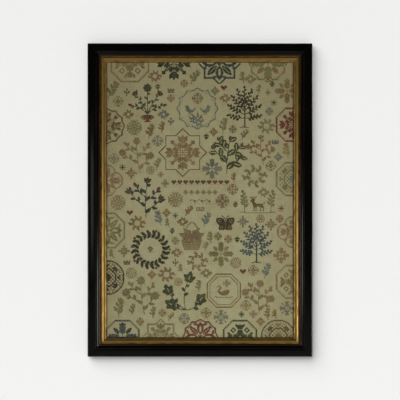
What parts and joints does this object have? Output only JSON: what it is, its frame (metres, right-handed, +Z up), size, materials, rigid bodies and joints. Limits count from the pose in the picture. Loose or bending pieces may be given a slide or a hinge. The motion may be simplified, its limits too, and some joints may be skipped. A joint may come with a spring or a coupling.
{
  "type": "framed cross stitch sampler",
  "caption": "Tall panel of cross stitched linen, held flat in a narrow black mitred frame with a gilt slip inside it and a board behind, to hang on a wall.",
  "frame": {"origin": "middle of the flat back of the top rail, where the frame meets the wall", "axes": "+Z up along the upright frame, +Y into the wall, so that the stitched face looks along -Y; +X to the viewer's right"},
  "size_m": [0.472, 0.0223, 0.658],
  "materials": {
    "black_lacquer": "ebonised wood with a rubbed semi-gloss lacquer",
    "old_gilt": "aged gilt over wood, satin, darker in the hollows",
    "linen_cloth": "aged unbleached plain weave linen with wool-coloured cross stitches",
    "backing_card": "matt aged board"
  },
  "bodies": {
    "root": {"rail_top": "black_lacquer", "rail_right": "black_lacquer", "rail_bottom": "black_lacquer", "rail_left": "black_lacquer", "slip_top": "old_gilt", "slip_right": "old_gilt", "slip_bottom": "old_gilt", "slip_left": "old_gilt", "linen": "linen_cloth", "backing_board": "backing_card"}
  },
  "joints": []
}
